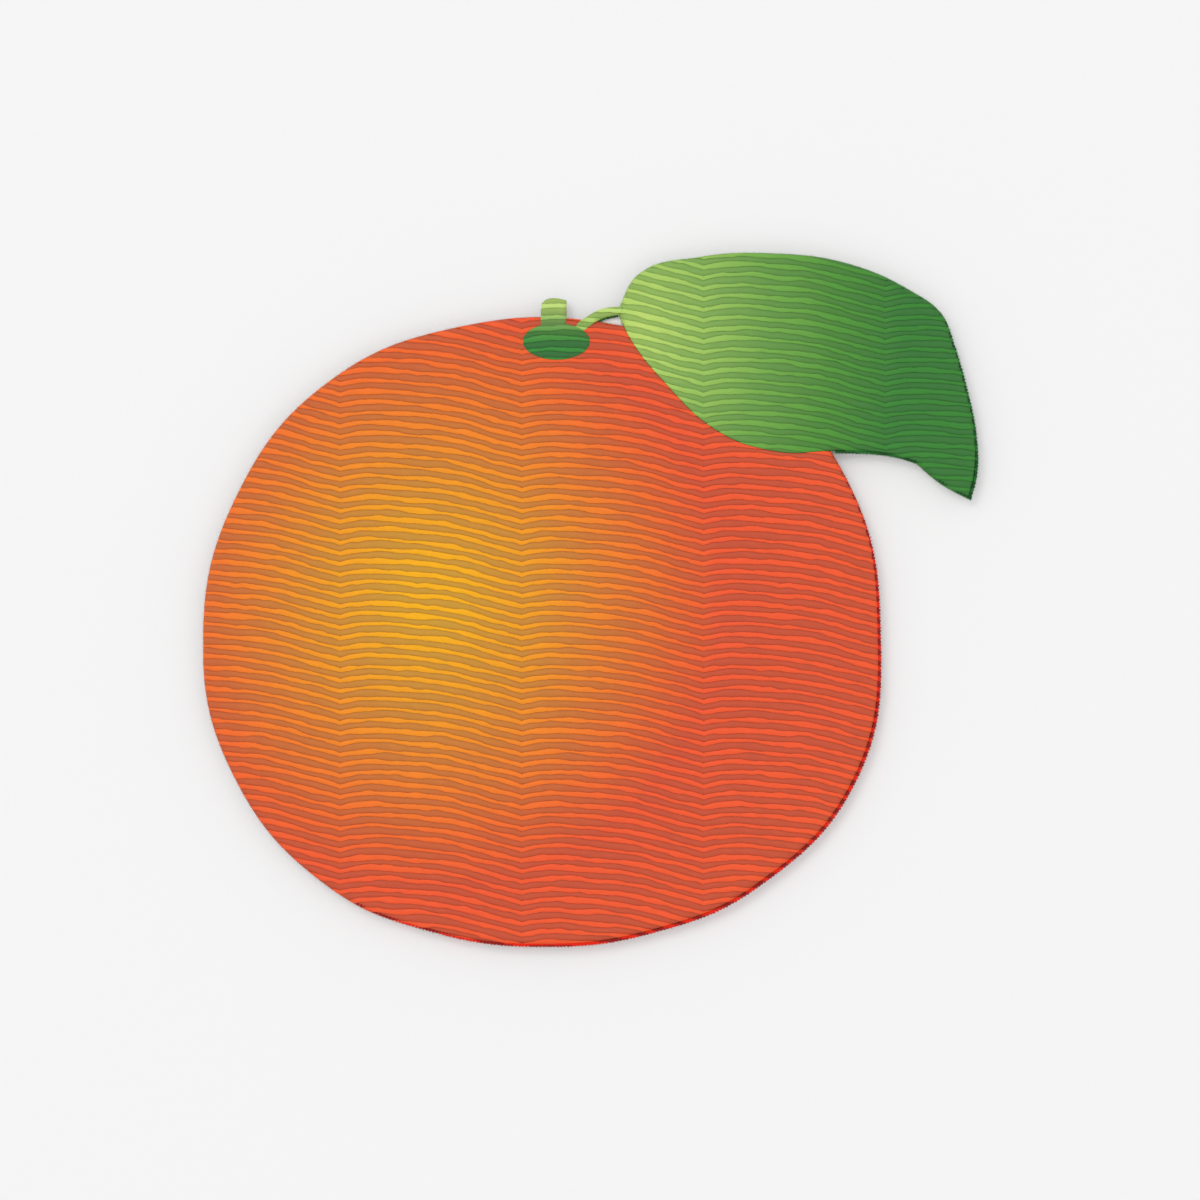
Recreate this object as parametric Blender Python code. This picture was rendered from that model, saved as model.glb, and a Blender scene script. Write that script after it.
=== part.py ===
"""An embroidered mandarin patch: thread fills on a ground cloth, lying flat on its film-covered back.

The frame has +X to the leaf's side, +Y up the fruit and +Z out of the stitches. The origin is the
middle of the back. Everything is a flat layer or a thread fill, so each piece is an outline with
a bottom and a top, and the layers are stacked from the film upwards.
"""

import bmesh
import bpy

MM = 0.001

# Driving dimensions, in millimetres. An outline's point marked "corner" is a sharp one.
FRUIT_OUTLINE = [
    (22.5, -2.5), (20.2, 8.7), (12.9, 17.2), (1.4, 21.4), (-10.1, 21.15),
    (-20.1, 17.0), (-27.15, 8.5), (-29.97, -3.0), (-27.6, -13.6), (-20.2, -22.25),
    (-12.1, -25.75), (-3.7, -26.85), (4.75, -25.8), (12.9, -22.3), (20.7, -13.8),
]
LEAF_OUTLINE = [
    (2.1, 22.3, "corner"), (3.8, 25.25), (8.5, 26.55), (13.5, 26.85), (20.1, 26.0),
    (25.4, 23.6), (27.0, 22.4), (27.65, 21.4), (28.15, 20.0), (29.1, 16.8), (29.95, 12.5),
    (29.95, 9.6), (29.45, 7.7, "corner"), (27.1, 9.0), (25.3, 10.5, "corner"), (23.4, 11.05),
    (19.3, 11.35), (14.9, 11.3), (9.9, 13.05), (5.7, 16.9), (3.2, 20.05),
]
STEM_OUTLINE = [
    (-3.85, 20.6, "corner"), (-3.8, 22.9, "corner"), (-3.35, 23.28), (-2.6, 23.36),
    (-1.75, 23.18, "corner"), (-1.66, 20.6, "corner"),
]
STALK_OUTLINE = [
    (-1.3, 20.9, "corner"), (-0.9, 21.5, "corner"), (0.55, 22.4), (1.4, 22.65),
    (2.6, 22.7, "corner"), (2.4, 21.95, "corner"), (0.75, 21.55), (-0.35, 20.8, "corner"),
]
CALYX_CENTRE = (-2.6, 20.0)
CALYX_RADII = (2.6, 1.42)
# The bit of cloth that shows between the stalk, the leaf and the fruit.
WINDOW_OUTLINE = [
    (0.0, 21.0, "corner"), (2.2, 22.5, "corner"), (4.2, 19.5, "corner"), (0.5, 19.5, "corner"),
]
# The fruit stops at this line round the calyx, the stem and the foot of the stalk.
CROWN_OUTLINE = [
    (-4.0, 23.6, "corner"), (-4.0, 21.35, "corner"), (-5.1, 20.8), (-5.35, 20.0), (-4.6, 18.85),
    (-2.6, 18.4), (-0.6, 18.85), (0.15, 20.0), (0.1, 20.85, "corner"), (0.85, 21.35, "corner"),
    (1.1, 23.6, "corner"),
]

LAYER_GAP = 0.05
SIDE_GAP = 0.15
FILM_THICKNESS = 0.10
BOBBIN_THICKNESS = 0.10
STABILISER_THICKNESS = 0.18
CLOTH_THICKNESS = 0.28
UNDERLAY_THICKNESS = 0.12
FILL_THICKNESS = 0.36
LEAF_STANDS_PROUD = 0.02
CALYX_STANDS_PROUD = 0.06
STALK_STANDS_PROUD = 0.06

CLOTH_INSET = 0.20
BACKING_INSET = 0.35
STALK_INSET = 0.10
FRUIT_MIDDLE = (-3.7, -2.6)
LEAF_MIDDLE = (17.0, 19.0)
UNDERLAY_SCALE = 0.96
BOBBIN_SCALE = 0.97
THREAD_ROUNDING = 0.15
STEPS_PER_POINT = 6
MERGE_DISTANCE = 1e-6


def collection(name):
    made = bpy.data.collections.new(name)
    bpy.context.scene.collection.children.link(made)
    return made


def material(name, colour, roughness):
    made = bpy.data.materials.new(name)
    made.use_nodes = True
    shader = made.node_tree.nodes["Principled BSDF"]
    shader.inputs["Base Color"].default_value = (*colour, 1.0)
    shader.inputs["Roughness"].default_value = roughness
    shader.inputs["Metallic"].default_value = 0.0
    return made


def ellipse(centre, radii):
    """Four smooth points, which automatic handles turn into an ellipse."""
    (x, y), (rx, ry) = centre, radii
    return [(x + rx, y), (x, y + ry), (x - rx, y), (x, y - ry)]


def smaller(outline, middle, scale):
    """The same outline, drawn smaller about a middle."""
    return [
        (middle[0] + (x - middle[0]) * scale, middle[1] + (y - middle[1]) * scale, *corner)
        for x, y, *corner in outline
    ]


def outline_curve(name, outline, grow, rounding):
    """A filled, closed 2D curve through the outline's points, grown or shrunk by its offset."""
    curve = bpy.data.curves.new(name, "CURVE")
    curve.dimensions = "2D"
    curve.fill_mode = "BOTH"
    curve.resolution_u = STEPS_PER_POINT
    curve.bevel_depth = rounding * MM
    curve.bevel_resolution = 1
    curve.offset = (grow - rounding) * MM
    spline = curve.splines.new("BEZIER")
    spline.bezier_points.add(len(outline) - 1)
    spline.use_cyclic_u = True
    for point, (x, y, *corner) in zip(spline.bezier_points, outline):
        point.co = (x * MM, y * MM, 0.0)
        point.handle_left_type = "VECTOR" if corner else "AUTO"
        point.handle_right_type = "VECTOR" if corner else "AUTO"
    return curve


def slab(name, outline, bottom, top, home, grow=0.0, rounding=0.0):
    """A closed mesh object between two heights, whose sides follow the outline."""
    curve = outline_curve(name, outline, grow, rounding)
    curve.extrude = ((top - bottom) / 2 - rounding) * MM
    drawn = bpy.data.objects.new(name + "_curve", curve)
    drawn.location.z = (top + bottom) / 2 * MM
    home.objects.link(drawn)
    bpy.context.view_layer.update()
    evaluated = drawn.evaluated_get(bpy.context.evaluated_depsgraph_get())
    mesh = bpy.data.meshes.new_from_object(evaluated)
    welded = bmesh.new()
    welded.from_mesh(mesh)
    bmesh.ops.remove_doubles(welded, verts=welded.verts, dist=MERGE_DISTANCE)
    bmesh.ops.recalc_face_normals(welded, faces=welded.faces)
    welded.to_mesh(mesh)
    welded.free()
    mesh.name = name
    piece = bpy.data.objects.new(name, mesh)
    piece.matrix_world = drawn.matrix_world
    home.objects.link(piece)
    bpy.data.objects.remove(drawn)
    bpy.data.curves.remove(curve)
    return piece


def tool(name, outline, bottom, top, grow=0.0):
    """A slab that only cuts or joins another piece."""
    made = slab(name, outline, bottom, top, cutters, grow)
    made.hide_render = True
    made.display_type = "WIRE"
    return made


def boolean(piece, other, operation):
    made = piece.modifiers.new(operation.lower() + "_" + other.name, "BOOLEAN")
    made.operation = operation
    made.solver = "EXACT"
    made.object = other


def finish(piece, surface):
    piece.data.materials.clear()
    piece.data.materials.append(surface)
    piece.data.shade_smooth()
    piece.data.set_sharp_from_angle(angle=0.6)


for old in list(bpy.data.objects):
    bpy.data.objects.remove(old)
parts = collection("embroidered_mandarin_patch")
cutters = collection("cutters")

orange_thread = material("orange_thread", (0.88, 0.20, 0.04), 0.45)
leaf_thread = material("leaf_green_thread", (0.13, 0.40, 0.07), 0.45)
calyx_thread = material("calyx_green_thread", (0.05, 0.25, 0.04), 0.45)
stem_thread = material("stem_green_thread", (0.45, 0.62, 0.16), 0.45)
bobbin_thread = material("white_bobbin_thread", (0.85, 0.85, 0.84), 0.55)
cotton_cloth = material("white_cotton_cloth", (0.88, 0.88, 0.87), 0.85)
stabiliser_felt = material("stabiliser_felt", (0.82, 0.82, 0.80), 0.95)
adhesive = material("adhesive_film", (0.80, 0.80, 0.78), 0.30)

film_top = FILM_THICKNESS
bobbin_bottom = film_top + LAYER_GAP
bobbin_top = bobbin_bottom + BOBBIN_THICKNESS
stabiliser_bottom = bobbin_top + LAYER_GAP
stabiliser_top = stabiliser_bottom + STABILISER_THICKNESS
cloth_bottom = stabiliser_top + LAYER_GAP
cloth_top = cloth_bottom + CLOTH_THICKNESS
underlay_bottom = cloth_top + LAYER_GAP
underlay_top = underlay_bottom + UNDERLAY_THICKNESS
fill_bottom = underlay_top + LAYER_GAP
fill_top = fill_bottom + FILL_THICKNESS

CALYX_OUTLINE = ellipse(CALYX_CENTRE, CALYX_RADII)


def silhouette(name, bottom, top, inset, surface):
    """A sheet under the whole design: the fruit's outline joined to the leaf's and the stem's."""
    sheet = slab(name, FRUIT_OUTLINE, bottom, top, parts, -inset)
    boolean(sheet, tool(name + "_leaf", LEAF_OUTLINE, bottom, top, -inset), "UNION")
    boolean(sheet, tool(name + "_stem", STEM_OUTLINE, bottom, top, -STALK_INSET), "UNION")
    boolean(sheet, tool(name + "_stalk", STALK_OUTLINE, bottom, top, -STALK_INSET), "UNION")
    boolean(sheet, tool(name + "_window", WINDOW_OUTLINE, bottom, top), "UNION")
    finish(sheet, surface)


# The back: a heat-seal film that closes it and gives the flat face to fix the patch by.
silhouette("adhesive_film", 0.0, film_top, BACKING_INSET, adhesive)

# The bobbin thread's stitches lie between the film and the stabiliser, under each large fill.
fruit_back = smaller(FRUIT_OUTLINE, FRUIT_MIDDLE, BOBBIN_SCALE)
leaf_back = smaller(LEAF_OUTLINE, LEAF_MIDDLE, BOBBIN_SCALE)
fruit_bobbin = slab("fruit_bobbin_stitches", fruit_back, bobbin_bottom, bobbin_top, parts)
leaf_bobbin = slab("leaf_bobbin_stitches", leaf_back, bobbin_bottom, bobbin_top, parts)
bobbin_cut = tool("bobbin_cut", leaf_back, bobbin_bottom - 1, bobbin_top + 1, SIDE_GAP)
boolean(fruit_bobbin, bobbin_cut, "DIFFERENCE")
finish(fruit_bobbin, bobbin_thread)
finish(leaf_bobbin, bobbin_thread)

# The stabiliser is the felt sheet that keeps the cloth flat under the needle.
silhouette("stabiliser_sheet", stabiliser_bottom, stabiliser_top, BACKING_INSET, stabiliser_felt)

# The ground cloth carries every stitch, and is cut just inside their edge.
silhouette("ground_cloth", cloth_bottom, cloth_top, CLOTH_INSET, cotton_cloth)

# Underlay stitches lift each large fill off the cloth.
fruit_below = smaller(FRUIT_OUTLINE, FRUIT_MIDDLE, UNDERLAY_SCALE)
leaf_below = smaller(LEAF_OUTLINE, LEAF_MIDDLE, UNDERLAY_SCALE)
fruit_underlay = slab("fruit_underlay", fruit_below, underlay_bottom, underlay_top, parts)
leaf_underlay = slab("leaf_underlay", leaf_below, underlay_bottom, underlay_top, parts)
low, high = underlay_bottom - 1, fill_top + 1
leaf_cut = tool("leaf_cut", LEAF_OUTLINE, low, high, SIDE_GAP)
crown_cut = tool("crown_cut", CROWN_OUTLINE, low, high)
boolean(fruit_underlay, leaf_cut, "DIFFERENCE")
boolean(fruit_underlay, crown_cut, "DIFFERENCE")
finish(fruit_underlay, orange_thread)
finish(leaf_underlay, leaf_thread)

# The fruit's fill stops round the leaf and the crown, which are stitched straight onto the cloth.
fruit = slab("fruit_stitches", FRUIT_OUTLINE, fill_bottom, fill_top, parts, rounding=THREAD_ROUNDING)
boolean(fruit, leaf_cut, "DIFFERENCE")
boolean(fruit, crown_cut, "DIFFERENCE")
finish(fruit, orange_thread)
leaf_top = fill_top + LEAF_STANDS_PROUD
leaf = slab("leaf_stitches", LEAF_OUTLINE, fill_bottom, leaf_top, parts, rounding=THREAD_ROUNDING)
finish(leaf, leaf_thread)

# Calyx, stem and stalk are small satin fills with no underlay of their own.
calyx_top = fill_top + CALYX_STANDS_PROUD
stalk_top = fill_top + STALK_STANDS_PROUD
calyx = slab("calyx_stitches", CALYX_OUTLINE, underlay_bottom, calyx_top, parts, rounding=THREAD_ROUNDING)
stem = slab("stem_stitches", STEM_OUTLINE, underlay_bottom, stalk_top, parts)
stalk = slab("stalk_stitches", STALK_OUTLINE, underlay_bottom, stalk_top, parts)
calyx_cut = tool("calyx_cut", CALYX_OUTLINE, low, high, SIDE_GAP)
boolean(stem, calyx_cut, "DIFFERENCE")
boolean(stalk, calyx_cut, "DIFFERENCE")
boolean(stalk, leaf_cut, "DIFFERENCE")
finish(calyx, calyx_thread)
finish(stem, stem_thread)
finish(stalk, stem_thread)
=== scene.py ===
"""The finish of an embroidered mandarin patch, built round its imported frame.

Its sheets come first: ground cloth, felt and glue film. Then come the fruit's fill, the edge runs,
the leaf's fill, the small fills of the crown, the stray filaments, and the hidden underlay and
bobbin rows.
"""

import math

import bmesh
import bpy
import numpy as np
from mathutils import Matrix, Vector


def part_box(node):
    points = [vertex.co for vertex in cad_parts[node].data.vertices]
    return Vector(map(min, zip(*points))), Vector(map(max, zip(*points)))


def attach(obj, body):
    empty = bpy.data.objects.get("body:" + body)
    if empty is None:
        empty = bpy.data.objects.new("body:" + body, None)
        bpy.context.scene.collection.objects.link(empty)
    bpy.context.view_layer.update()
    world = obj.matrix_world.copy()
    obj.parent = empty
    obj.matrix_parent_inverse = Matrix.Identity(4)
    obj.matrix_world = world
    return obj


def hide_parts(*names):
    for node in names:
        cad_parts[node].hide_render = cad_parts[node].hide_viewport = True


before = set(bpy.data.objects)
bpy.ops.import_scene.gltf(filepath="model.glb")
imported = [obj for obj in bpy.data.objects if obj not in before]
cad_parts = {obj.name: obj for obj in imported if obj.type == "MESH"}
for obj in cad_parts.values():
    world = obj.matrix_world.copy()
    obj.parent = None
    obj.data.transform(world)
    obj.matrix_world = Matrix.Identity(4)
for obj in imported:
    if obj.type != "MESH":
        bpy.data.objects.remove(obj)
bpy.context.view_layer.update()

# ---------------------------------------------------------------------------------------------
# Ground cloth: white cotton poplin, cut just inside the stitches with a hot blade. It carries
# every stitch, and shows in the small window between stalk, leaf and fruit.
# ---------------------------------------------------------------------------------------------

MM = 0.001
CLOTH_YARN_SPACING = 0.28 * MM


def linear(colour):
    """The linear RGBA of an sRGB hex colour."""
    channels = [int(colour[i:i + 2], 16) / 255 for i in (0, 2, 4)]
    return [c / 12.92 if c <= 0.04045 else ((c + 0.055) / 1.055) ** 2.4 for c in channels] + [1.0]


def add_node(tree, kind, inputs=None, **settings):
    """A node with its settings, and with its inputs set to values or linked to sockets."""
    made = tree.nodes.new(kind)
    for key, value in settings.items():
        setattr(made, key, value)
    for key, value in (inputs or {}).items():
        if isinstance(value, bpy.types.NodeSocket):
            tree.links.new(value, made.inputs[key])
        else:
            made.inputs[key].default_value = value
    return made


def new_surface(name, roughness, specular):
    """A material with its node tree and its shader, which every finish here starts from."""
    made = bpy.data.materials.new(name)
    made.use_nodes = True
    shader = made.node_tree.nodes["Principled BSDF"]
    shader.inputs["Roughness"].default_value = roughness
    shader.inputs["Specular IOR Level"].default_value = specular
    return made, made.node_tree, shader


def merged_copy(node_name, name):
    """A new object with a copy of a CAD node's mesh, its loose triangles merged."""
    mesh = bpy.data.objects[node_name].data.copy()
    mesh.name = name
    work = bmesh.new()
    work.from_mesh(mesh)
    bmesh.ops.remove_doubles(work, verts=work.verts, dist=1e-6)
    bmesh.ops.dissolve_limit(work, angle_limit=0.02, verts=work.verts, edges=work.edges)
    work.to_mesh(mesh)
    work.free()
    made = bpy.data.objects.new(name, mesh)
    bpy.context.scene.collection.objects.link(made)
    return made


# Plain-woven cotton: matt, with a fine over-and-under relief of yarns.
cotton, tree, shader = new_surface("woven_cotton_poplin", 0.85, 0.2)
shader.inputs["Base Color"].default_value = linear("FBFBF9")
place = add_node(tree, "ShaderNodeTexCoord")
warp = add_node(tree, "ShaderNodeTexWave", {
    "Vector": place.outputs["Object"], "Scale": 0.314 / CLOTH_YARN_SPACING, "Distortion": 0.4,
}, bands_direction="X")
weft = add_node(tree, "ShaderNodeTexWave", {
    "Vector": place.outputs["Object"], "Scale": 0.314 / CLOTH_YARN_SPACING, "Distortion": 0.4,
}, bands_direction="Y")
weave = add_node(tree, "ShaderNodeMath", {
    0: warp.outputs["Fac"], 1: weft.outputs["Fac"]}, operation="MULTIPLY")
relief = add_node(tree, "ShaderNodeBump", {
    "Height": weave.outputs[0], "Distance": 0.04 * MM, "Strength": 0.8})
tree.links.new(relief.outputs["Normal"], shader.inputs["Normal"])



def laid_sheet(node_name, name, surface, rim):
    """A flat sheet in place of its CAD node, with softened rims, fixed to the patch."""
    made = merged_copy(node_name, name)
    made.data.materials.clear()
    made.data.materials.append(surface)
    work = bmesh.new()
    work.from_mesh(made.data)
    area = sum(face.calc_area() for face in work.faces if face.normal.z > 0.9)
    rims = [edge for edge in work.edges
            if edge.is_manifold and edge.calc_face_angle(0.0) > 1.2
            and abs(edge.verts[0].co.z - edge.verts[1].co.z) < 1e-7]
    bmesh.ops.bevel(work, geom=rims, offset=rim, segments=2, affect="EDGES", profile=0.5, material=-1)
    work.to_mesh(made.data)
    work.free()
    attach(made, "root")
    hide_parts(node_name)


laid_sheet("ground_cloth", "cotton_ground_cloth", cotton, 0.08 * MM)
_, cloth_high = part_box("ground_cloth")

# ---------------------------------------------------------------------------------------------
# Stabiliser: a sheet of soft needled felt under the cloth, which keeps it flat under the needle.
# ---------------------------------------------------------------------------------------------

# Needled felt: quite matt, its fibres a soft mottle of two near whites.
felt, tree, shader = new_surface("needled_felt", 0.95, 0.1)
place = add_node(tree, "ShaderNodeTexCoord")
fibres = add_node(tree, "ShaderNodeTexNoise", {
    "Vector": place.outputs["Object"], "Scale": 1 / (0.5 * MM), "Detail": 4.0})
tint = add_node(tree, "ShaderNodeValToRGB", {"Fac": fibres.outputs["Fac"]})
tint.color_ramp.elements[0].color = linear("DCDBD6")
tint.color_ramp.elements[1].color = linear("F4F3EF")
tree.links.new(tint.outputs["Color"], shader.inputs["Base Color"])
relief = add_node(tree, "ShaderNodeBump", {
    "Height": fibres.outputs["Fac"], "Distance": 0.08 * MM, "Strength": 0.9})
tree.links.new(relief.outputs["Normal"], shader.inputs["Normal"])
laid_sheet("stabiliser_sheet", "felt_stabiliser", felt, 0.06 * MM)

# ---------------------------------------------------------------------------------------------
# Back film: a thin sheet of hot-melt glue on the underside, which irons the patch on.
# ---------------------------------------------------------------------------------------------

# Milky glue film: a little clear, half glossy, with the fine embossing of its release paper.
glue, tree, shader = new_surface("hot_melt_glue_film", 0.35, 0.45)
shader.inputs["Base Color"].default_value = linear("E9E7E0")
place = add_node(tree, "ShaderNodeTexCoord")
embossing = add_node(tree, "ShaderNodeTexVoronoi", {
    "Vector": place.outputs["Object"], "Scale": 1 / (0.7 * MM)})
relief = add_node(tree, "ShaderNodeBump", {
    "Height": embossing.outputs["Distance"], "Distance": 0.03 * MM, "Strength": 0.5})
tree.links.new(relief.outputs["Normal"], shader.inputs["Normal"])
film = bpy.data.objects["adhesive_film"]
film.data.materials.clear()
film.data.materials.append(glue)

# ---------------------------------------------------------------------------------------------
# Fruit fill: rows of 40-weight polyester thread, laid in long stitches between needle lines.
# The rows sink and rise in a kink at each needle line, every other row lies a little deeper and
# is coloured darker as painted shade, and the ends turn down through the cloth at the outline.
# ---------------------------------------------------------------------------------------------

FRUIT_OUTLINE = [
    (22.5, -2.5), (20.2, 8.7), (12.9, 17.2), (1.4, 21.4), (-10.1, 21.15),
    (-20.1, 17.0), (-27.15, 8.5), (-29.97, -3.0), (-27.6, -13.6), (-20.2, -22.25),
    (-12.1, -25.75), (-3.7, -26.85), (4.75, -25.8), (12.9, -22.3), (20.7, -13.8),
]
LEAF_OUTLINE = [
    (2.1, 22.3, "corner"), (3.8, 25.25), (8.5, 26.55), (13.5, 26.85), (20.1, 26.0),
    (25.4, 23.6), (27.0, 22.4), (27.65, 21.4), (28.15, 20.0), (29.1, 16.8), (29.95, 12.5),
    (29.95, 9.6), (29.45, 7.7, "corner"), (27.1, 9.0), (25.3, 10.5, "corner"), (23.4, 11.05),
    (19.3, 11.35), (14.9, 11.3), (9.9, 13.05), (5.7, 16.9), (3.2, 20.05),
]
STEM_OUTLINE = [
    (-3.85, 20.6, "corner"), (-3.8, 22.9, "corner"), (-3.35, 23.28), (-2.6, 23.36),
    (-1.75, 23.18, "corner"), (-1.66, 20.6, "corner"),
]
STALK_OUTLINE = [
    (-1.3, 20.9, "corner"), (-0.9, 21.5, "corner"), (0.55, 22.4), (1.4, 22.65),
    (2.6, 22.7, "corner"), (2.4, 21.95, "corner"), (0.75, 21.55), (-0.35, 20.8, "corner"),
]
CALYX_MIDDLE = (-2.6, 20.0)
CALYX_RADII = (2.6, 1.42)

ROW_PITCH = 0.4096 * MM        # from one row of thread to the next
UPPER_SHARE = 0.44             # how much of two rows' width the upper one takes
NEEDLE_LINE = -5.27 * MM       # one of the upright lines where the stitches end
NEEDLE_PITCH = 14.05 * MM      # from one needle line to the next
ROWS_DROPPED = 4               # how many rows lower a row is at each next needle line
FALL_WAVES = ((1, 0.462), (2, 0.045), (3, 0.012), (4, 0.035))
KINK = 0.06 * MM               # a sharper dip just at the needle line
KINK_REACH = 0.35 * MM
UPPER_ROW_MIDDLE = 0.36 * MM   # height of one upper row's middle at the needle line
SWELL = 0.09 * MM              # how far a row's edge wanders, which makes rows swell and thin
SWELLS_PER_STITCH = 7
STEP_OFF = 0.055 * MM          # shorter wandering, where a ply rolls over
STEPS_PER_STITCH = 19
RAGGED = 0.02 * MM             # the finest raggedness, of single filaments
RAGS_PER_STITCH = 64
FILL_SECTIONS = 78             # sections of a strand in one stitch
CROWN_SECTIONS = 100
HIDDEN_SECTIONS = 12
NEAR_ENDS = np.array([0.0, 0.05, 0.11, 0.19, 0.3]) * MM
SIDES = 6
ROD_SPACING = 4.0              # between the plain rods that the strands start as
ROWS_BEYOND = 16               # rows looked at past a shape, since rows fall across it
ALONG_CHECK = 0.04 * MM        # spacing of the places where a row is looked for
THINNEST = 0.015 * MM          # a row ends where it would be thinner than this
CROWN = {"upper": 0.035 * MM, "lower": 0.09 * MM, "flat": 0.045 * MM}
BELLY = {"upper": 0.01 * MM, "lower": 0.09 * MM, "flat": 0.045 * MM}
SPREAD = {"upper": 0.0, "lower": 0.1 * MM, "flat": -0.03 * MM}
PARITIES = {"upper": (0,), "lower": (1,), "flat": (0, 1)}
EDGE_REACH = 0.30 * MM         # the ends turn down over this width at the outline
EDGE_DEPTH = 0.40 * MM
SEAM_REACH = 0.12 * MM         # and over this width where two fills meet
SEAM_DEPTH = 0.02 * MM
NEEDLE_DIP = 0.02 * MM

chance = np.random.default_rng(40)
swells = chance.uniform(-1, 1, (256, SWELLS_PER_STITCH + 1))
swells[:, [0, -1]] = 0.0
steps = chance.uniform(-1, 1, (256, STEPS_PER_STITCH + 1))
steps[:, [0, -1]] = 0.0
rags = chance.uniform(-1, 1, (256, RAGS_PER_STITCH + 1))


def mesh_of(name, curve):
    """The mesh of a curve, which is then thrown away."""
    drawn = bpy.data.objects.new(name, curve)
    bpy.context.scene.collection.objects.link(drawn)
    bpy.context.view_layer.update()
    mesh = bpy.data.meshes.new_from_object(drawn.evaluated_get(bpy.context.evaluated_depsgraph_get()))
    bpy.data.objects.remove(drawn)
    bpy.data.curves.remove(curve)
    return mesh


def outline_points(outline, steps=14):
    """Points along the smooth closed outline, in metres, as an array of x and y."""
    curve = bpy.data.curves.new("outline", "CURVE")
    curve.dimensions = "2D"
    curve.fill_mode = "NONE"
    curve.resolution_u = steps
    spline = curve.splines.new("BEZIER")
    spline.bezier_points.add(len(outline) - 1)
    spline.use_cyclic_u = True
    for point, (x, y, *corner) in zip(spline.bezier_points, outline):
        point.co = (x * MM, y * MM, 0.0)
        point.handle_left_type = "VECTOR" if corner else "AUTO"
        point.handle_right_type = "VECTOR" if corner else "AUTO"
    mesh = mesh_of("outline", curve)
    points = np.array([vertex.co[:2] for vertex in mesh.vertices])
    bpy.data.meshes.remove(mesh)
    return points


def span_at(points, x):
    """The lowest and highest y of an outline at each x, or inf and -inf where it isn't."""
    low = np.full(x.shape, np.inf)
    high = np.full(x.shape, -np.inf)
    for (x0, y0), (x1, y1) in zip(points, np.roll(points, -1, axis=0)):
        inside = (np.minimum(x0, x1) <= x) & (x <= np.maximum(x0, x1))
        run = x1 - x0 if abs(x1 - x0) > 1e-9 else 1e-9
        y = y0 + (y1 - y0) * np.clip((x - x0) / run, 0, 1)
        low = np.where(inside, np.minimum(low, y), low)
        high = np.where(inside, np.maximum(high, y), high)
    return low, high


def is_inside(points, x, y):
    """Whether each place is inside an outline."""
    crossings = np.zeros(x.shape, int)
    for (x0, y0), (x1, y1) in zip(points, np.roll(points, -1, axis=0)):
        if y0 == y1:
            continue
        straddles = (y0 > y) != (y1 > y)
        crossings += straddles & (x < x0 + (y - y0) * (x1 - x0) / (y1 - y0))
    return crossings % 2 == 1


def edges_of(points, neighbours):
    """An outline's short edges, split into those in the open and those inside a neighbour."""
    ends = np.roll(points, -1, axis=0)
    middle = (points + ends) / 2
    covered = np.zeros(len(points), bool)
    for neighbour in neighbours:
        covered |= is_inside(neighbour, middle[:, 0], middle[:, 1])
    edges = np.hstack([points, ends])
    return edges[~covered], edges[covered]


def sink(x, y, edges, reach, depth):
    """How far thread sinks where it turns down at any of these edges."""
    nearest = np.full(x.shape, np.inf)
    for x0, y0, x1, y1 in edges:
        run, rise = x1 - x0, y1 - y0
        along = np.clip(((x - x0) * run + (y - y0) * rise) / max(run * run + rise * rise, 1e-15), 0, 1)
        nearest = np.minimum(nearest, np.hypot(x - x0 - along * run, y - y0 - along * rise))
    closeness = np.clip(1 - nearest / reach, 0, 1)
    return depth * (1 - np.sqrt(1 - closeness ** 2))


def eased(table, row, u):
    """A row of random values, read smoothly at u from 0 to 1."""
    place = np.clip(u, 0, 1) * (table.shape[1] - 1)
    first = np.minimum(place.astype(int), table.shape[1] - 2)
    t = place - first
    t = t * t * (3 - 2 * t)
    return table[row, first] * (1 - t) + table[row, first + 1] * t


def row_line(number, x):
    """The height of a line between two rows: it rises from a needle line, then falls in a wave."""
    stitches = (x - NEEDLE_LINE) / NEEDLE_PITCH
    column = np.floor(stitches).astype(int)
    u = stitches - column
    label = number - ROWS_DROPPED * column
    fall = u - sum(size * np.sin(math.pi * waves * u) for waves, size in FALL_WAVES)
    random_row = label % 256
    wander = (SWELL * eased(swells, random_row, u) + STEP_OFF * eased(steps, random_row, u)
              + RAGGED * eased(rags, random_row, u))
    half_upper = UPPER_SHARE * ROW_PITCH
    middle = UPPER_ROW_MIDDLE + (label - label % 2) * ROW_PITCH
    line = middle + np.where(label % 2 == 0, -half_upper, half_upper)
    kink = KINK * np.exp(-np.minimum(u, 1 - u) * NEEDLE_PITCH / KINK_REACH)
    return line - ROWS_DROPPED * fall * ROW_PITCH - kink + wander


def section_places(start, stop, sections):
    """Where a strand's sections stand: closer near its ends, and one on every needle line."""
    ends = NEAR_ENDS * min(1.0, (stop - start) / (2.4 * NEAR_ENDS[-1]))
    step = NEEDLE_PITCH / sections
    first = math.ceil((start + ends[-1] - NEEDLE_LINE) / step + 0.3)
    last = math.floor((stop - ends[-1] - NEEDLE_LINE) / step - 0.3)
    between = NEEDLE_LINE + np.arange(first, last + 1) * step
    return np.concatenate([start + ends, between, stop - ends[::-1]])


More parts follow.
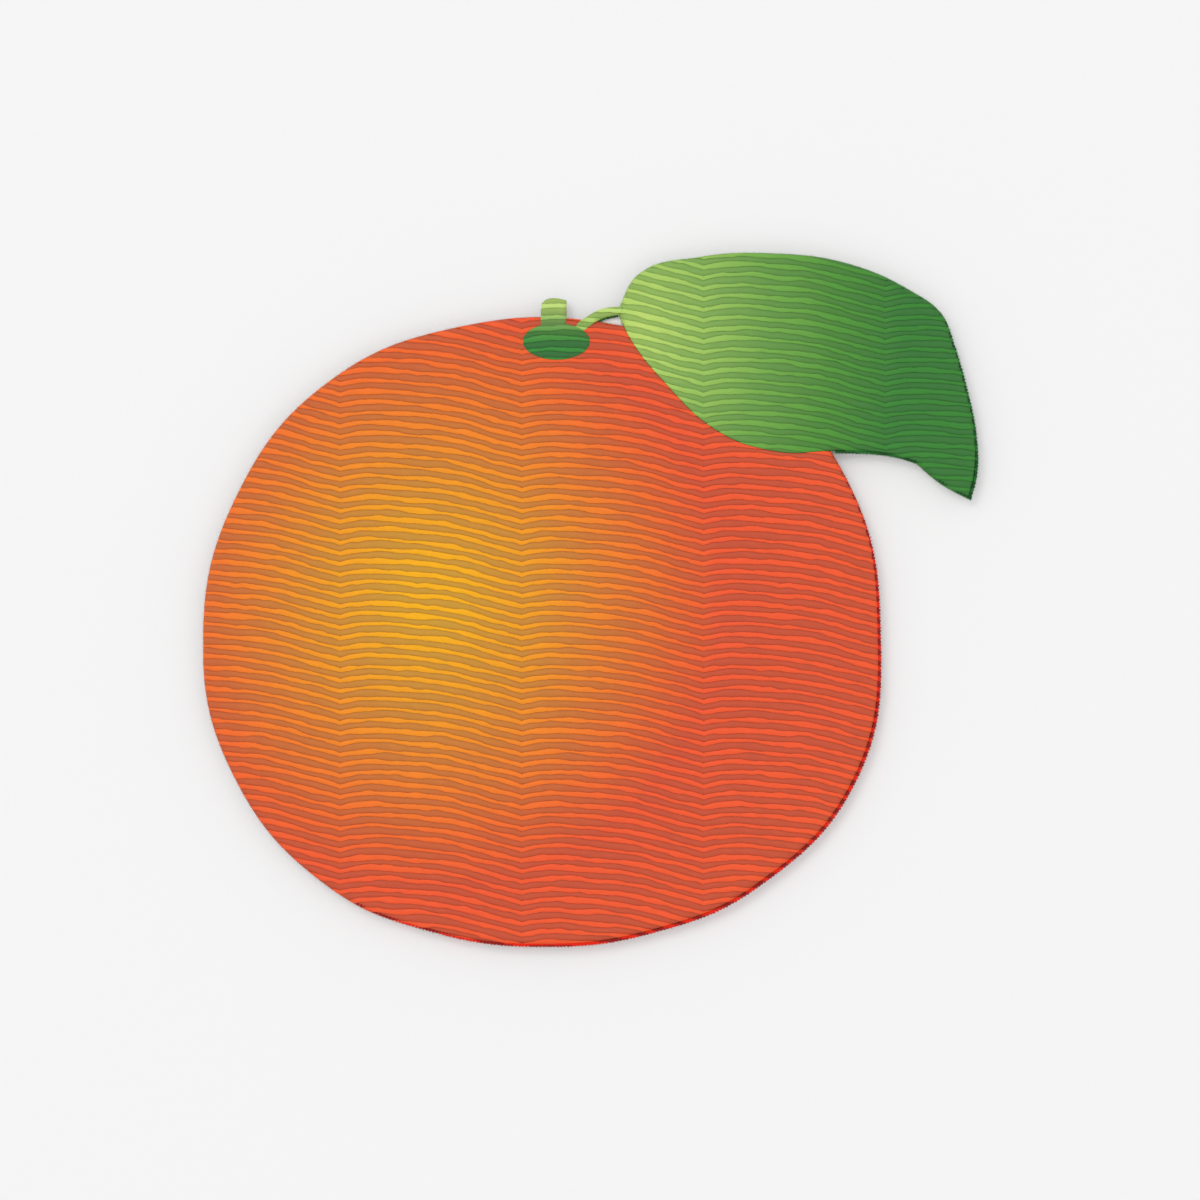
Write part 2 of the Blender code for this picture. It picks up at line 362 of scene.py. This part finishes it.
def laid_rows(name, bounds, reach, layer, base, edges=(), sections=FILL_SECTIONS):
    """The upper, the lower or all rows of thread that cross a shape, as flattened closed strands.

    bounds gives the shape's lowest and highest y at an x. The strands start as plain rods, one
    after the other, and each ring of a rod is then moved to its place along the row.
    """
    fine = np.arange(reach[0], reach[1], ALONG_CHECK)
    low, high = bounds(fine)
    lowest, highest = np.min(low[np.isfinite(low)]), np.max(high[np.isfinite(high)])
    strands, places = [], []
    for number in range(int(lowest / ROW_PITCH) - ROWS_BEYOND, int(highest / ROW_PITCH) + ROWS_BEYOND):
        if number % 2 not in PARITIES[layer]:
            continue
        room = np.minimum(row_line(number + 1, fine), high) - np.maximum(row_line(number, fine), low)
        is_open = np.concatenate([[False], room > THINNEST, [False]])
        starts = np.flatnonzero(~is_open[:-1] & is_open[1:])
        stops = np.flatnonzero(is_open[:-1] & ~is_open[1:]) - 1
        for start, stop in zip(starts, stops):
            if stop - start >= 8:
                strands.append((number, fine[start], fine[stop]))
                places.append(section_places(fine[start], fine[stop], sections))
    work = bmesh.new()
    turn = Matrix.Rotation(math.pi / 2, 4, "Y")
    for order, stations in enumerate(places):
        place = Matrix.Translation((0.5, order * ROD_SPACING, 0.0)) @ turn
        rod = bmesh.ops.create_cone(work, cap_ends=True, segments=SIDES, radius1=1.0, radius2=1.0,
                                    depth=1.0, matrix=place)
        long_edges = {edge for vertex in rod["verts"] for edge in vertex.link_edges
                      if abs(edge.verts[0].co.x - edge.verts[1].co.x) > 0.5}
        bmesh.ops.subdivide_edges(work, edges=list(long_edges), cuts=len(stations) - 2)
    mesh = bpy.data.meshes.new(name)
    work.to_mesh(mesh)
    work.free()

    rod_places = np.empty(len(mesh.vertices) * 3, np.float32)
    mesh.vertices.foreach_get("co", rod_places)
    along, y, z = rod_places.reshape(-1, 3).astype(float).T
    order = np.rint(y / ROD_SPACING).astype(int)
    number, start, stop = np.array(strands).T[:, order]
    number = number.astype(int)
    counts = np.array([len(stations) for stations in places])
    first = np.concatenate([[0], np.cumsum(counts)[:-1]])
    x = np.concatenate(places)[first[order] + np.rint(along * (counts[order] - 1)).astype(int)]
    angle = np.arctan2(z, y - order * ROD_SPACING)
    across = np.sign(np.cos(angle)) * np.abs(np.cos(angle)) ** 0.25
    up = np.sign(np.sin(angle)) * np.abs(np.sin(angle)) ** 0.35
    low, high = bounds(np.clip(x, start, stop))
    bottom = np.maximum(row_line(number, x) - SPREAD[layer], low)
    top = np.minimum(row_line(number + 1, x) + SPREAD[layer], high)
    half = np.maximum((top - bottom) / 2, THINNEST / 2.5)
    y = (top + bottom) / 2 + half * across
    fullness = np.minimum(1.0, half / (0.05 * MM)) if layer != "lower" else 1.0
    z = base + fullness * np.where(up > 0, CROWN[layer], BELLY[layer]) * up
    stitches = (x - NEEDLE_LINE) / NEEDLE_PITCH
    from_needle = np.abs(stitches - np.rint(stitches)) * NEEDLE_PITCH
    z = z - NEEDLE_DIP * np.exp(-(from_needle / (0.2 * MM)) ** 2)
    for outline_edges, width, depth in edges:
        z = z - sink(x, y, outline_edges, width, depth)
    mesh.vertices.foreach_set("co", np.column_stack([x, y, z]).astype(np.float32).ravel())

    corners = np.empty(len(mesh.loops), np.int32)
    mesh.loops.foreach_get("vertex_index", corners)
    # Along the strand, and round it from its underside, both in millimetres.
    round_it = (angle + math.pi / 2) % (2 * math.pi) / (2 * math.pi) * 1.2
    unwrapped = np.column_stack([x / MM + number * 3.7, round_it])[corners]
    mesh.uv_layers.new(name="along_thread").data.foreach_set("uv", unwrapped.astype(np.float32).ravel())
    mesh.shade_smooth()
    mesh.update()
    made = bpy.data.objects.new(name, mesh)
    bpy.context.scene.collection.objects.link(made)
    # The pressed tops shade as flat bands, and only their rims turn away.
    made.modifiers.new("pressed_flat", "WEIGHTED_NORMAL").weight = 100
    return made


def dyed_and_shade_painted_thread(name, stops, place_input):
    """Trilobal polyester thread, dyed to shade along the design.

    It has a soft sheen, and fine filaments that run along the strand. The lower rows' copies are
    given darker stops, which are painted shade.
    """
    made, tree, shader = new_surface(name, 0.5, 0.18)
    position = place_input(tree)
    dye = add_node(tree, "ShaderNodeValToRGB", {"Fac": position})
    ramp = dye.color_ramp
    while len(ramp.elements) < len(stops):
        ramp.elements.new(0.5)
    for element, (at, colour) in zip(ramp.elements, stops):
        element.position = at
        element.color = linear(colour)
    along = add_node(tree, "ShaderNodeUVMap", uv_map="along_thread")
    stretched = add_node(tree, "ShaderNodeMapping", {
        "Vector": along.outputs["UV"], "Scale": (0.9, 9.0, 1.0)})
    filaments = add_node(tree, "ShaderNodeTexNoise", {
        "Vector": stretched.outputs["Vector"], "Scale": 1.0, "Detail": 3.0}, noise_dimensions="2D")
    shade = add_node(tree, "ShaderNodeMapRange", {
        "Value": filaments.outputs["Fac"], "From Min": 0.3, "From Max": 0.7,
        "To Min": 0.96, "To Max": 1.03})
    coloured = add_node(tree, "ShaderNodeVectorMath", {
        0: dye.outputs["Color"], "Scale": shade.outputs["Result"]}, operation="SCALE")
    tree.links.new(coloured.outputs["Vector"], shader.inputs["Base Color"])
    relief = add_node(tree, "ShaderNodeBump", {
        "Height": filaments.outputs["Fac"], "Distance": 0.03 * MM, "Strength": 0.5})
    tree.links.new(relief.outputs["Normal"], shader.inputs["Normal"])
    return made


def radial(middle, radii):
    """A maker of the socket that goes from 0 at a middle to 1 at the rim of an ellipse."""
    def build(tree):
        place = add_node(tree, "ShaderNodeTexCoord")
        centred = add_node(tree, "ShaderNodeMapping", {
            "Vector": place.outputs["Object"],
            "Location": (middle[0] * MM, middle[1] * MM, 0.0),
            "Scale": (radii[0] * MM, radii[1] * MM, 1.0)}, vector_type="TEXTURE")
        distance = add_node(tree, "ShaderNodeVectorMath", {
            0: centred.outputs["Vector"]}, operation="LENGTH")
        return distance.outputs["Value"]
    return build


fruit_line = outline_points(FRUIT_OUTLINE)
leaf_line = outline_points(LEAF_OUTLINE)
stem_line = outline_points(STEM_OUTLINE)
stalk_line = outline_points(STALK_OUTLINE)
turns = np.linspace(0, 2 * math.pi, 64, endpoint=False)
calyx_line = MM * (np.array(CALYX_MIDDLE)
                   + np.array(CALYX_RADII) * np.column_stack([np.cos(turns), np.sin(turns)]))


# The way that outlines face on the lower right, turned from the light: the edge runs show there as
# painted shade.
SIDE_AWAY_FROM_LIGHT = np.array([0.707, -0.707])
RIM = 0.22 * MM
SMALL_RIM = 0.1 * MM


def outward_normals(points):
    """The unit normals of a closed outline, outward at each of its points."""
    area = np.sum(points[:, 0] * np.roll(points[:, 1], -1) - points[:, 1] * np.roll(points[:, 0], -1))
    tangent = np.roll(points, -1, axis=0) - np.roll(points, 1, axis=0)
    tangent /= np.linalg.norm(tangent, axis=1)[:, None]
    return np.sign(area) * np.column_stack([tangent[:, 1], -tangent[:, 0]])


def drawn_in(points, rim):
    """The outline that rows fill: they stop short on the lower right, where the edge run shows as
    painted shade.
    """
    outward = outward_normals(points)
    shown = np.clip((outward @ SIDE_AWAY_FROM_LIGHT - 0.35) / 0.45, 0, 1)
    return points - outward * (rim * shown)[:, None]


fruit_rows_line = drawn_in(fruit_line, RIM)
leaf_rows_line = drawn_in(leaf_line, RIM)
stem_rows_line = drawn_in(stem_line, SMALL_RIM)
stalk_rows_line = drawn_in(stalk_line, SMALL_RIM)


def fruit_bounds(x):
    low, high = span_at(fruit_rows_line, x)
    leaf_low, _ = span_at(leaf_rows_line, x)
    return low, np.minimum(high, leaf_low)


def fix(made, node_name):
    """A finished piece, fixed to the patch in place of a CAD node."""
    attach(made, "root")
    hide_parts(node_name)


def lay_fill(word, bounds, line, edges, base, dyes_and_painted_shade, shading, thread, node_name,
             sections=FILL_SECTIONS):
    """Both layers of a fill's rows, in place of the fill's CAD node."""
    turned_down = [(edges[0], EDGE_REACH, EDGE_DEPTH)]
    if len(edges[1]):
        turned_down.append((edges[1], SEAM_REACH, SEAM_DEPTH))
    for layer in ("upper", "lower"):
        level = base if layer == "upper" else base - BELLY["upper"] - CROWN["lower"]
        rows = laid_rows(f"{word}_{layer}_rows", bounds, (line[:, 0].min(), line[:, 0].max()),
                         layer, level, turned_down, sections)
        # The lower rows take darker stops than the upper rows: painted shade of the deeper rows.
        rows.data.materials.append(dyed_and_shade_painted_thread(f"{thread}_{layer}", dyes_and_painted_shade[layer], shading))
        fix(rows, node_name)


# The lower rows' stops are the upper rows' colours darkened: painted shade of the deeper rows.
FRUIT_DYES_AND_PAINTED_SHADE = {
    "upper": [(0.1, "F7B014"), (0.35, "F29D1C"), (0.6, "F28426"), (0.85, "F2692B"), (1.0, "F15A30")],
    "lower": [(0.1, "CB9735"), (0.35, "C98937"), (0.6, "C97537"), (0.85, "C86037"), (1.0, "C75438")],
}
fruit_shading = radial((-12.44, 0.23), (22.65, 22.4))
_, fill_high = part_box("fruit_stitches")
fill_base = fill_high[2] - CROWN["upper"] - 0.01 * MM
fruit_open, _ = edges_of(fruit_rows_line, [leaf_rows_line])
_, fruit_shared = edges_of(leaf_rows_line, [fruit_rows_line])
lay_fill("fruit", fruit_bounds, fruit_rows_line, (fruit_open, fruit_shared), fill_base, FRUIT_DYES_AND_PAINTED_SHADE,
         fruit_shading, "orange_polyester_thread", "fruit_stitches")

# ---------------------------------------------------------------------------------------------
# Edge runs: two cords of thread, one on the other, stitched before the rows go over them, along the
# stretches of outline that face the lower right, away from the light. They lift the rows' ends, and
# peep out a little there, standing for the shade at that edge: painted shade.
# ---------------------------------------------------------------------------------------------

CORD_RADIUS = 0.13 * MM
SMALL_CORD_RADIUS = 0.08 * MM
PLY_BUMPS = 0.27 * MM          # from one bump of the twisted plies to the next
LOWEST_LINE = -120


def stretches(points, neighbours, least_facing):
    """The runs of outline that lie in the open and face the lower right, with their normals."""
    outward = outward_normals(points)
    kept = outward @ SIDE_AWAY_FROM_LIGHT > least_facing
    for neighbour in neighbours:
        kept &= ~is_inside(neighbour, points[:, 0], points[:, 1])
    first = np.flatnonzero(~kept)[0]
    kept, points, outward = (np.roll(values, -first, axis=0) for values in (kept, points, outward))
    begins = np.flatnonzero(kept & ~np.roll(kept, 1))
    ends = np.flatnonzero(kept & ~np.roll(kept, -1))
    return [(points[b:e + 1], outward[b:e + 1]) for b, e in zip(begins, ends) if e - b > 3]


def edge_run(name, runs, radius, surface):
    """Twisted cords along runs of an outline, one on the other, with painted shade where lower rows
    end.
    """
    curve = bpy.data.curves.new(name, "CURVE")
    curve.dimensions = "3D"
    curve.bevel_depth = radius
    curve.bevel_resolution = 1
    curve.use_fill_caps = True
    for points, outward in runs:
        facing = np.clip(outward @ SIDE_AWAY_FROM_LIGHT, 0, 1)
        route = points - outward * (radius * (1.0 + 0.9 * (1 - facing) ** 2))[:, None]
        length = np.concatenate([[0], np.cumsum(np.linalg.norm(np.diff(route, axis=0), axis=1))])
        even = np.arange(0, length[-1], PLY_BUMPS / 4)
        xs, ys = np.interp(even, length, route[:, 0]), np.interp(even, length, route[:, 1])
        for order in range(2):
            height = cloth_high[2] + (0.9 + 1.4 * order) * CORD_RADIUS
            bumps = 1.0 + 0.33 * np.cos(2 * math.pi * even / PLY_BUMPS)
            bumps = bumps + chance.uniform(-0.15, 0.15, len(even))
            spline = curve.splines.new("POLY")
            spline.points.add(len(even) - 1)
            for point, x, y, size in zip(spline.points, xs, ys, bumps):
                point.co = (x, y, height, 1.0)
                point.radius = size
    mesh = mesh_of(name, curve)
    work = bmesh.new()
    work.from_mesh(mesh)
    bmesh.ops.remove_doubles(work, verts=work.verts, dist=1e-7)
    work.to_mesh(mesh)
    work.free()
    mesh.name = name
    mesh.shade_smooth()
    x, y = np.array([vertex.co[:2] for vertex in mesh.vertices]).T
    lines_below = sum((row_line(number, x) <= y).astype(int)
                      for number in range(LOWEST_LINE, -LOWEST_LINE))
    # Painted light beside upper rows' ends, painted shade beside lower rows' ends.
    painted_light_by_upper_row = (lines_below % 2).astype(np.float32)
    mesh.attributes.new("painted_light_by_upper_row", "FLOAT", "POINT").data.foreach_set("value", painted_light_by_upper_row)
    made = bpy.data.objects.new(name, mesh)
    made.data.materials.clear()
    made.data.materials.append(surface)
    bpy.context.scene.collection.objects.link(made)
    return made


def edge_thread_painted_lit_and_shaded(name, dark, bright):
    """Matt twisted thread, deep in colour: painted light by an upper row's end, painted shade by a
    lower's.
    """
    made, tree, shader = new_surface(name, 0.6, 0.1)
    painted_light_by_upper_row = add_node(tree, "ShaderNodeAttribute", attribute_name="painted_light_by_upper_row")
    dye = add_node(tree, "ShaderNodeValToRGB", {"Fac": painted_light_by_upper_row.outputs["Fac"]})
    dye.color_ramp.elements[0].color = linear(dark)
    dye.color_ramp.elements[1].color = linear(bright)
    tree.links.new(dye.outputs["Color"], shader.inputs["Base Color"])
    return made


fruit_run = edge_run("fruit_edge_run", stretches(fruit_line, [leaf_line], 0.25), CORD_RADIUS,
                     edge_thread_painted_lit_and_shaded("red_edge_thread", "97211E", "EA2C1A"))
fix(fruit_run, "fruit_underlay")
green_edge = edge_thread_painted_lit_and_shaded("green_edge_thread", "1F4F24", "2A6E32")
leaf_run = edge_run("leaf_edge_run", stretches(leaf_line, [fruit_rows_line, stalk_line], 0.1),
                    CORD_RADIUS, green_edge)
fix(leaf_run, "leaf_underlay")
crown_runs = stretches(stem_line, [fruit_line], 0.6)
crown_runs += stretches(stalk_line, [fruit_line, leaf_line], 0.6)
crown_run = edge_run("crown_edge_run", crown_runs, SMALL_CORD_RADIUS, green_edge)
fix(crown_run, "stem_stitches")

# ---------------------------------------------------------------------------------------------
# Leaf fill: the same rows in green thread, light at the stalk and dark at the tip. It butts
# against the fruit's fill in shared needle holes.
# ---------------------------------------------------------------------------------------------

# As on the fruit, the lower rows' darker stops are painted shade of the deeper rows.
LEAF_DYES_AND_PAINTED_SHADE = {
    "upper": [(0.0, "BFDB70"), (0.25, "9EC55F"), (0.5, "75AB4A"), (0.75, "54963A"), (1.0, "3B8334")],
    "lower": [(0.0, "9BBB60"), (0.25, "82AA56"), (0.5, "67974A"), (0.75, "4E853C"), (1.0, "3B7739")],
}
leaf_shading = radial((3.86, 21.18), (20.27, 25.75))
leaf_edges = edges_of(leaf_rows_line, [fruit_rows_line, stalk_line])
lay_fill("leaf", lambda x: span_at(leaf_rows_line, x), leaf_rows_line, leaf_edges, fill_base, LEAF_DYES_AND_PAINTED_SHADE,
         leaf_shading, "green_polyester_thread", "leaf_stitches")

# ---------------------------------------------------------------------------------------------
# Crown: calyx, stem stub and stalk, three small fills stitched last, on top of the fruit's.
# ---------------------------------------------------------------------------------------------

CROWN_LIFT = 0.035 * MM


def upright(low_y, high_y):
    """A maker of the socket that goes from 0 at one height of the design to 1 at another."""
    def build(tree):
        place = add_node(tree, "ShaderNodeTexCoord")
        parts = add_node(tree, "ShaderNodeSeparateXYZ", {"Vector": place.outputs["Object"]})
        ranged = add_node(tree, "ShaderNodeMapRange", {
            "Value": parts.outputs["Y"], "From Min": low_y * MM, "From Max": high_y * MM})
        return ranged.outputs["Result"]
    return build


def above_calyx(line):
    """A maker of a shape's bounds, cut off where the shape runs into the calyx."""
    def bounds(x):
        low, high = span_at(line, x)
        _, calyx_high = span_at(calyx_line, x)
        return np.maximum(low, calyx_high - 0.25 * MM), high
    return bounds


# In both tables the lower rows' darker stops are painted shade of the deeper rows.
CROWN_DYES_AND_PAINTED_SHADE = {
    "upper": [(0.0, "3C8A3C"), (0.3, "549441"), (0.6, "82B05E"), (1.0, "C0DC7A")],
    "lower": [(0.0, "37713A"), (0.3, "457A38"), (0.6, "6A8F4C"), (1.0, "9CB660")],
}
STALK_DYES_AND_PAINTED_SHADE = {
    "upper": [(0.0, "A4CA66"), (1.0, "BEDC76")],
    "lower": [(0.0, "82A854"), (1.0, "9AB860")],
}
crown_shading = upright(19.9, 22.6)
crown_base = fill_base + CROWN_LIFT
calyx_base = crown_base + 0.02 * MM
calyx_edges = edges_of(calyx_line, [fruit_line, stem_line])
lay_fill("calyx", lambda x: span_at(calyx_line, x), calyx_line, calyx_edges, calyx_base, CROWN_DYES_AND_PAINTED_SHADE,
         crown_shading, "calyx_thread", "calyx_stitches", sections=CROWN_SECTIONS)
stem_edges = edges_of(stem_rows_line, [fruit_line])
lay_fill("stem", above_calyx(stem_rows_line), stem_line, stem_edges, crown_base, CROWN_DYES_AND_PAINTED_SHADE,
         crown_shading, "stem_thread", "stem_stitches", sections=CROWN_SECTIONS)
stalk_edges = edges_of(stalk_rows_line, [fruit_line, leaf_line])
lay_fill("stalk", above_calyx(stalk_rows_line), stalk_line, stalk_edges, crown_base, STALK_DYES_AND_PAINTED_SHADE,
         upright(20.8, 22.4), "stalk_thread", "stalk_stitches", sections=CROWN_SECTIONS)

# ---------------------------------------------------------------------------------------------
# Stray filaments: broken filaments of the thread, which stand out of the fills' edges. Real ones
# are about 0.02 mm thick, and these are drawn twice as thick at the root, so that they show.
# ---------------------------------------------------------------------------------------------

FILAMENT_SPACING = 0.16 * MM


def stray_filaments(name, points, neighbours, surface):
    """Short thin cones along the open part of an outline, each out from it at its own angle."""
    outward = outward_normals(points)
    length = np.concatenate([[0], np.cumsum(np.linalg.norm(np.diff(points, axis=0), axis=1))])
    even = np.arange(0, length[-1], FILAMENT_SPACING)
    xs, ys, ways_x, ways_y = (np.interp(even, length, values) for values in (*points.T, *outward.T))
    hidden = np.zeros(len(even), bool)
    for neighbour in neighbours:
        hidden |= is_inside(neighbour, xs, ys)
    work = bmesh.new()
    for x, y, way_x, way_y in zip(xs[~hidden], ys[~hidden], ways_x[~hidden], ways_y[~hidden]):
        heading = math.atan2(way_y, way_x) + chance.uniform(-1.1, 1.1)
        size = chance.uniform(0.12, 0.26) * MM
        place = Matrix.Translation((x, y, cloth_high[2] + chance.uniform(0.1, 0.4) * MM))
        tilt = Matrix.Rotation(math.pi / 2 + chance.uniform(-0.3, 0.3), 4, "Y")
        turn = Matrix.Rotation(heading, 4, "Z") @ tilt
        bmesh.ops.create_cone(work, cap_ends=True, segments=5, radius1=0.026 * MM, radius2=0.006 * MM,
                              depth=size, matrix=place @ turn)
    mesh = bpy.data.meshes.new(name)
    work.to_mesh(mesh)
    work.free()
    mesh.shade_smooth()
    mesh.materials.append(surface)
    made = bpy.data.objects.new(name, mesh)
    bpy.context.scene.collection.objects.link(made)
    return made


# The filaments take the lower rows' thread, whose darker stops are painted shade.
filaments = stray_filaments("fruit_stray_filaments", fruit_line, [leaf_line, stem_line, stalk_line],
                            bpy.data.materials["orange_polyester_thread_lower"])
fix(filaments, "fruit_stitches")
filaments = stray_filaments("leaf_stray_filaments", leaf_line, [fruit_line, stalk_line],
                            bpy.data.materials["green_polyester_thread_lower"])
fix(filaments, "leaf_stitches")

# ---------------------------------------------------------------------------------------------
# Underlay and bobbin rows: the plain rows under the fills, and the white bobbin thread that
# holds every stitch on the back, between the felt and the film.
# ---------------------------------------------------------------------------------------------

HIDDEN_SCALE = 0.985


def plain_thread(name, colour):
    """The fill's thread in one plain colour, or the white spun bobbin thread."""
    return dyed_and_shade_painted_thread(name, [(0.0, colour), (1.0, colour)], upright(-30.0, 30.0))


def hidden_rows(word, line, bounds, part, surface):
    """Plain rows inside one of the hidden CAD nodes, halfway up it."""
    node_name = f"{word}_{part}"
    node_low, node_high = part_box(node_name)
    rows = laid_rows(f"{node_name}_rows", bounds, (line[:, 0].min(), line[:, 0].max()), "flat",
                     (node_low[2] + node_high[2]) / 2, sections=HIDDEN_SECTIONS)
    rows.data.materials.append(surface)
    fix(rows, node_name)


def inner_line(line):
    """A large fill's outline, a little smaller, as the rows inside it need."""
    middle = (line.max(axis=0) + line.min(axis=0)) / 2
    return middle + (line - middle) * HIDDEN_SCALE


fruit_inner_line = inner_line(fruit_line)
leaf_inner_line = inner_line(leaf_line)


def inner_fruit_bounds(x):
    low, high = span_at(fruit_inner_line, x)
    leaf_low, _ = span_at(leaf_line, x)
    return low, np.minimum(high, leaf_low)


def inner_leaf_bounds(x):
    return span_at(leaf_inner_line, x)


for word, line, bounds, colour, slot in (
        ("fruit", fruit_inner_line, inner_fruit_bounds, "D8632F", "orange_thread"),
        ("leaf", leaf_inner_line, inner_leaf_bounds, "4F8A40", "leaf_thread")):
    hidden_rows(word, line, bounds, "underlay", plain_thread(f"{word}_underlay_thread", colour))
    hidden_rows(word, line, bounds, "bobbin_stitches",
                plain_thread(f"white_{word}_bobbin_thread", "F2F1EC"))

# ---------------------------------------------------------------------------------------------
# Studio: a plain pale floor, one large soft light from the upper left, and a long lens that
# looks straight down.
# ---------------------------------------------------------------------------------------------

VIEW_WIDTH = 92.8 * MM
LENS = 200.0
SENSOR = 36.0

# Matt white card, which gives an even pale ground.
floor_surface, tree, shader = new_surface("pale_studio_card", 0.9, 0.1)
shader.inputs["Base Color"].default_value = linear("F3F3F3")
work = bmesh.new()
bmesh.ops.create_grid(work, x_segments=1, y_segments=1, size=4.0)
mesh = bpy.data.meshes.new("studio_floor")
work.to_mesh(mesh)
work.free()
floor = bpy.data.objects.new("studio_floor", mesh)
floor.data.materials.append(floor_surface)
bpy.context.scene.collection.objects.link(floor)

camera_data = bpy.data.cameras.new("camera")
camera_data.lens = LENS
camera_data.sensor_width = SENSOR
camera = bpy.data.objects.new("camera", camera_data)
camera.location = (0.77 * MM, 0.0, fill_high[2] + LENS / SENSOR * VIEW_WIDTH)
bpy.context.scene.collection.objects.link(camera)
bpy.context.scene.camera = camera

key_data = bpy.data.lights.new("key", "AREA")
key_data.shape = "DISK"
key_data.size = 1.6
key_data.energy = 18.0
key = bpy.data.objects.new("key", key_data)
key.location = (-1.0, 1.19, 2.57)
key.rotation_euler = (-key.location).to_track_quat("-Z", "Y").to_euler()
bpy.context.scene.collection.objects.link(key)

world = bpy.data.worlds.new("studio")
world.use_nodes = True
world.node_tree.nodes["Background"].inputs["Color"].default_value = (1.0, 1.0, 1.0, 1.0)
world.node_tree.nodes["Background"].inputs["Strength"].default_value = 0.86
bpy.context.scene.world = world
bpy.context.scene.view_settings.view_transform = "Standard"

bpy.context.view_layer.update()
